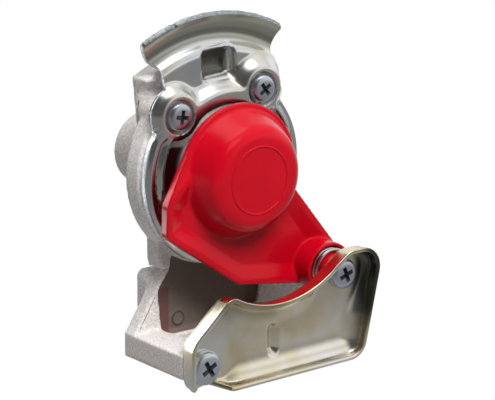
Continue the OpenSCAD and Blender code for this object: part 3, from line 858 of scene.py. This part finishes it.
# Moulded dust cap with a smooth dome
cap = {"back": 8.2, "t": 2.4, "domeR": 22.0, "domeH": 13.8, "domeSteps": 128, "flat": 13.6, "round": 6.0,
       "roundEnds": (27, 90), "roundSteps": (16, 8), "foot": ((0.9, 0.02), (0.35, 0.3), (0.08, 0.9)),
       "skin": 0.06, "wall": 0.8, "innerRound": 5.4, "endR": (4.0, 0.4),
       "ringMark": 11.8, "markSteps": 96,
       "mark": ((0.42, -0.2), (0.36, 0.2), (0.14, 0.4), (-0.14, 0.4), (-0.36, 0.2), (-0.42, -0.2)),
       "rim": 4.2, "shoulderLift": 0.15, "shoulderDrop": [0.0, 0.0, 1.4, 1.9, 1.9, 0.3, 0.0],
       "shoulder": [(-31.5, -6.6), (-30.9, -5.0), (-21.6, 11.6), (-20.4, 12.6), (-16.0, 10.0),
                    (-20.0, 2.0), (-29.0, -7.0)],
       "voxel": 0.42, "factor": 0.5, "rounds": 5, "sharp": 60}
capTop = cap["back"] + cap["domeH"]
capFloor = cap["back"] + cap["t"]
roundMid = (cap["flat"], capTop - cap["round"])
low, high = cap["roundEnds"]
outerSteps, innerSteps = cap["roundSteps"]
outerArc = arcPoints(roundMid, cap["round"], low, high, outerSteps)
innerArc = arcPoints(roundMid, cap["innerRound"], high, low, innerSteps)
footOut, footUp = cap["foot"][0]
domeProfile = [(cap["domeR"] + out, capFloor + up) for out, up in cap["foot"]]
domeProfile += [(r + cap["skin"], h + cap["skin"]) for r, h in outerArc]
domeProfile += [(r, capTop + cap["skin"]) for r in (cap["ringMark"], *cap["endR"])]
domeProfile += [(r, capTop - cap["wall"]) for r in (cap["endR"][-1], cap["ringMark"])]
domeProfile += [(r - cap["wall"], h - cap["wall"]) for r, h in innerArc]
domeProfile += [(cap["domeR"] - footOut, capFloor + footUp)]
domeMesh = spunMesh("capDome", (0.0, 0.0), domeProfile, cap["domeSteps"])
shoulderTop = cap["back"] + cap["rim"] - np.array(cap["shoulderDrop"])
shoulderMesh = prismMesh("capShoulder", cap["shoulder"], cap["back"] + cap["shoulderLift"], shoulderTop)
capMesh = joined("capShape", [nodes["dust_cap"].data, domeMesh, shoulderMesh])
capMesh = remeshed("dustCapShell", capMesh, cap["voxel"], cap["factor"], cap["rounds"])
markProfile = [(cap["ringMark"] + out, capTop + up) for out, up in cap["mark"]]
capMesh = joined("dustCap", [capMesh, spunMesh("capMark", (0.0, 0.0), markProfile, cap["markSteps"])])
addPiece("dustCap", capMesh, ["redCap"], "cap", ["dust_cap"], cap["sharp"])
print("stage: dust cap", len(capMesh.polygons))

# Pan screws with a cross recess, each with its name, middle, seat, head radius, length and turn
screwSet = {"headH": 3.4, "shankR": 2.5, "tipR": 0.1, "edge": (0.2, 0.25), "steps": 64, "sharp": 35,
            "dome": ((0.02, 0.0), (0.5, 0.04), (0.7, 0.14), (0.84, 0.4), (0.93, 0.85),
                     (0.98, 1.4), (1.0, 1.9)),
            "spokeW": 0.34, "spokeL": 1.3, "above": 1.0, "deep": 2.0, "deepW": 0.6, "deepL": 0.45,
            "boxFaces": ((0, 1, 2, 3), (7, 6, 5, 4), (0, 4, 5, 1), (1, 5, 6, 2),
                         (2, 6, 7, 3), (3, 7, 4, 0))}
screws = {"claw_screw_left": ("panScrewClawLeft", claw["left"], claw["seatH"], 4.9, 10.0, 80),
          "claw_screw_right": ("panScrewClawRight", claw["right"], claw["seatH"], 4.9, 10.0, 35),
          "guide_screw": ("panScrewGuide", tray["guide"], trayFloorH, 6.0, 16.0, 30),
          "pivot_screw": ("panScrewPivot", tray["pivot"], trayFloorH, 5.4, 31.4, 20)}


def makeScrew(replaced, name, mid, seat, headR, length, angle):
    s = screwSet
    top, tip = seat + s["headH"], seat - length
    edgeIn, edgeUp = s["edge"]
    profile = [(k * headR, top - drop) for k, drop in s["dome"]]
    profile += [(headR, seat + edgeUp), (headR - edgeIn, seat)]
    profile += [(s["shankR"], seat), (s["shankR"], tip), (s["tipR"], tip)]
    mesh = joined(name, [spunMesh(name, mid, profile, s["steps"])])
    spokeW, spokeL = s["spokeW"] * headR, s["spokeL"] * headR
    levels = ((top + s["above"], spokeW, spokeL),
              (top - s["deep"], spokeW * s["deepW"], spokeL * s["deepL"]))
    bm = bmesh.new()
    for a in (math.radians(angle), math.radians(angle + 90)):
        box = []
        for h, w, l in levels:
            for sx, sz in squareCorners:
                u, v = turned(sx * l / 2, sz * w / 2, a)
                box.append(bm.verts.new(spot(mid[0] + u, h, mid[1] + v)))
        for f in s["boxFaces"]:
            bm.faces.new([box[i] for i in f])
    bmesh.ops.recalc_face_normals(bm, faces=bm.faces)
    cutMesh = bpy.data.meshes.new(name + "Cut")
    bm.to_mesh(cutMesh)
    bm.free()
    cutMesh.polygons.foreach_set("material_index", np.ones(len(cutMesh.polygons), np.int32))
    for lookName in ("screw", "recess"):
        mesh.materials.append(materials[lookName])
        cutMesh.materials.append(materials[lookName])
    mesh = carved(name, mesh, cutMesh)
    addPiece(name, mesh, ["screw", "recess"], "head", [replaced], s["sharp"])


for nodeName, values in screws.items():
    makeScrew(nodeName, *values)
print("stage: screws")

# Springs: the torsion coil round the pivot, unattached with its placement baked into its mesh, and the
# valve coil on the head with a mesh of its own
torsion = {"mid": tray["pivot"], "h0": 12.7, "h1": 22.5, "r": 7.15, "wire": 0.7, "turns": 5,
           "start": 40.0, "steps": 48, "sides": 10, "sharp": 60}
valveSpring = {"mid": (0.0, 0.0), "h0": -17.8, "h1": -6.9, "r": 7.4, "wire": 0.6, "turns": 5,
               "start": 0.0, "steps": 40, "sides": 8, "fixedH": -18.4, "keep": 0.57, "sharp": 60}


def coilMesh(name, c):
    total = c["turns"] * c["steps"]
    turns = np.radians(c["start"] + np.arange(total + 1) * 360.0 / c["steps"])
    rise = c["h0"] + (c["h1"] - c["h0"]) * np.arange(total + 1) / total
    sides = np.radians(np.arange(c["sides"]) * 360.0 / c["sides"])
    r = c["r"] + c["wire"] * np.cos(sides)
    up = c["wire"] * np.sin(sides)
    rows = []
    for a, h in zip(turns, rise):
        rows.append(spots(c["mid"][0] + r * math.cos(a), h + up, c["mid"][1] + r * math.sin(a)))
    ends = range(c["sides"])
    faces = ringFaces(len(rows), c["sides"], False)
    faces += [tuple(ends), tuple(total * c["sides"] + i for i in reversed(ends))]
    return joined(name, [meshFrom(name, np.concatenate(rows), faces)])


torsionMesh = coilMesh("torsionCoil", torsion)
torsionCoil = addPiece("torsionCoil", torsionMesh, ["spring"], None, ["cap_spring"],
                       torsion["sharp"])
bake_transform(torsionCoil)
valveMesh = coilMesh("valveCoil", valveSpring)
valveCoil = addPiece("valveCoil", valveMesh, ["spring"], "head", ["valve_spring"],
                     valveSpring["sharp"])
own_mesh(valveCoil)
print("stage: springs")

# Camera set where the photograph was taken from
view = {"azimuth": -37.0, "elevation": 15.0, "distance": 1.1, "focal": 3190.0, "size": (495, 400),
        "centre": (221.0, 167.0), "sensor": 36.0, "clip": 0.05}
camera = placed("camera", bpy.data.cameras.new("camera"))
scene.camera = camera
a, e = math.radians(view["azimuth"]), math.radians(view["elevation"])
target = Vector(spot(0, 0, 0))
away = Vector((math.sin(a) * math.cos(e), -math.cos(a) * math.cos(e), math.sin(e)))
camera.location = target + away * view["distance"]
camera.rotation_euler = away.to_track_quat("Z", "Y").to_euler()
lens = camera.data
lens.sensor_fit = "HORIZONTAL"
lens.sensor_width = view["sensor"]
lens.lens = view["focal"] * view["sensor"] / view["size"][0]
lens.shift_x = (view["size"][0] / 2 - view["centre"][0]) / view["size"][0]
lens.shift_y = (view["centre"][1] - view["size"][1] / 2) / view["size"][0]
lens.clip_start = view["clip"]
lens.dof.use_dof = False

# Studio: white to the camera, one room for reflections and a plain one for light
room = {"level": [(0.0, 0.30), (0.49, 0.34), (0.53, 0.60), (0.58, 0.95), (0.65, 1.0), (0.73, 0.66),
                  (0.84, 0.95), (1.0, 0.85)],
        "leftSpan": (-0.25, 0.45), "leftLevel": 0.10, "behindSpan": (0.15, 0.5), "behindLevel": 0.95,
        "overheadSpan": (0.91, 0.96), "overheadLevel": 1.7, "stripToward": (-0.50, 0.77, 0.40),
        "stripSpan": (0.92, 0.98), "stripLevel": 6.5, "fillSpan": (-0.8, 0.6), "fillLevels": (0.06, 0.24)}


def background(tree, colour):
    node = tree.nodes.new("ShaderNodeBackground")
    if isinstance(colour, float):
        node.inputs["Color"].default_value = (colour, colour, colour, 1.0)
    else:
        link(tree, colour, node.inputs["Color"])
    return node.outputs["Background"]


def makeWorld():
    world = bpy.data.worlds.new("studio")
    scene.world = world
    world.use_nodes = True
    tree = world.node_tree
    tree.nodes.clear()
    out = tree.nodes.new("ShaderNodeOutputWorld")
    x, y, z = splitPlace(tree, "Generated")[1]
    rise = mapped(tree, z, (-1.0, 1.0), kind="LINEAR")
    level = ramp(tree, rise, [(at, (v, v, v)) for at, v in room["level"]])
    level = times(tree, level, mapped(tree, x, room["leftSpan"], (room["leftLevel"], 1.0)))
    level = mixed(tree, mapped(tree, y, room["behindSpan"]), level, room["behindLevel"])
    level = plus(tree, level, mapped(tree, z, room["overheadSpan"], (0.0, room["overheadLevel"])))
    toStrip = 0.0
    for axis, share in zip((x, y, z), room["stripToward"]):
        toStrip = plus(tree, times(tree, axis, share), toStrip)
    level = plus(tree, level, mapped(tree, toStrip, room["stripSpan"], (0.0, room["stripLevel"])))
    fill = mapped(tree, x, room["fillSpan"], room["fillLevels"])
    path = tree.nodes.new("ShaderNodeLightPath").outputs
    shader = mixedShader(tree, path["Is Glossy Ray"], background(tree, fill), background(tree, level))
    shader = mixedShader(tree, path["Is Camera Ray"], shader, background(tree, 1.0))
    link(tree, shader, out.inputs["Surface"])


makeWorld()
lamps = [
    {"name": "key", "at": (-0.15, -0.90, 0.93), "size": (0.6, 0.5), "power": 21.0},
    {"name": "top", "at": (-0.06, -0.15, 1.1), "size": (0.7, 0.6), "power": 7.0},
]
for lamp in lamps:
    data = bpy.data.lights.new(lamp["name"], "AREA")
    data.shape = "RECTANGLE"
    data.size, data.size_y = lamp["size"]
    data.energy = lamp["power"]
    lampObject = placed(lamp["name"], data)
    lampObject.location = lamp["at"]
    lampObject.visible_glossy = False
    lampObject.rotation_euler = (target - lampObject.location).to_track_quat("-Z", "Y").to_euler()

# Pale floor under the foot: white to the camera; reflections see it glow with set tones instead, a
# painted reflection that is darker to the left, lighter close in front and brighter behind
ground = {"half": 3, "drop": 0.0005, "grey": 0.34, "roughness": 0.7, "right": 0.25, "near": 0.40,
          "nearSpan": (-0.138, -0.098), "left": 0.20, "leftSpan": (0.06, -0.14), "back": 0.8,
          "backSpan": (-0.06, 0.02), "glowPatch": ((-0.19, -0.12), (0.07, 0.15)), "glowPatchSoft": 0.012,
          "glowPatchLevel": 9.0}
floorCorners = [(sx * ground["half"], sy * ground["half"], 0) for sx, sy in squareCorners]
floorMesh = meshFrom("floor", floorCorners, [(0, 1, 2, 3)])
floorMaterial, tree, shader = principled("paleFloor")
shader.inputs["Roughness"].default_value = ground["roughness"]
shader.inputs["Base Color"].default_value = (ground["grey"], ground["grey"], ground["grey"], 1.0)
floorX, floorY = splitPlace(tree, "Object")[1][:2]
tone = mapped(tree, floorY, ground["nearSpan"], (ground["right"], ground["near"]))
tone = mixed(tree, mapped(tree, floorX, ground["leftSpan"]), tone, ground["left"])
tone = mixed(tree, mapped(tree, floorY, ground["backSpan"]), tone, ground["back"])
# A glowing patch at back-left, seen only in reflections: a painted highlight on the cap's left rim
glowPatch = boxMask(tree, (floorX, floorY), ground["glowPatch"], ground["glowPatchSoft"])
tone = plus(tree, tone, times(tree, glowPatch, ground["glowPatchLevel"]))
mirrored = tree.nodes.new("ShaderNodeEmission")
link(tree, tone, mirrored.inputs["Color"])
glow = tree.nodes.new("ShaderNodeEmission")
glow.inputs["Color"].default_value = (1.0, 1.0, 1.0, 1.0)
path = tree.nodes.new("ShaderNodeLightPath").outputs
seen = mixedShader(tree, path["Is Glossy Ray"], shader.outputs["BSDF"], mirrored.outputs["Emission"])
seen = mixedShader(tree, path["Is Camera Ray"], seen, glow.outputs["Emission"])
link(tree, seen, tree.nodes["Material Output"].inputs["Surface"])
floorMesh.materials.append(floorMaterial)
floorPlane = placed("floor", floorMesh)
floorPlane.location.z = cadBox[0][2] - ground["drop"]

scene.view_settings.view_transform = "Standard"

print("stage: scene ready")
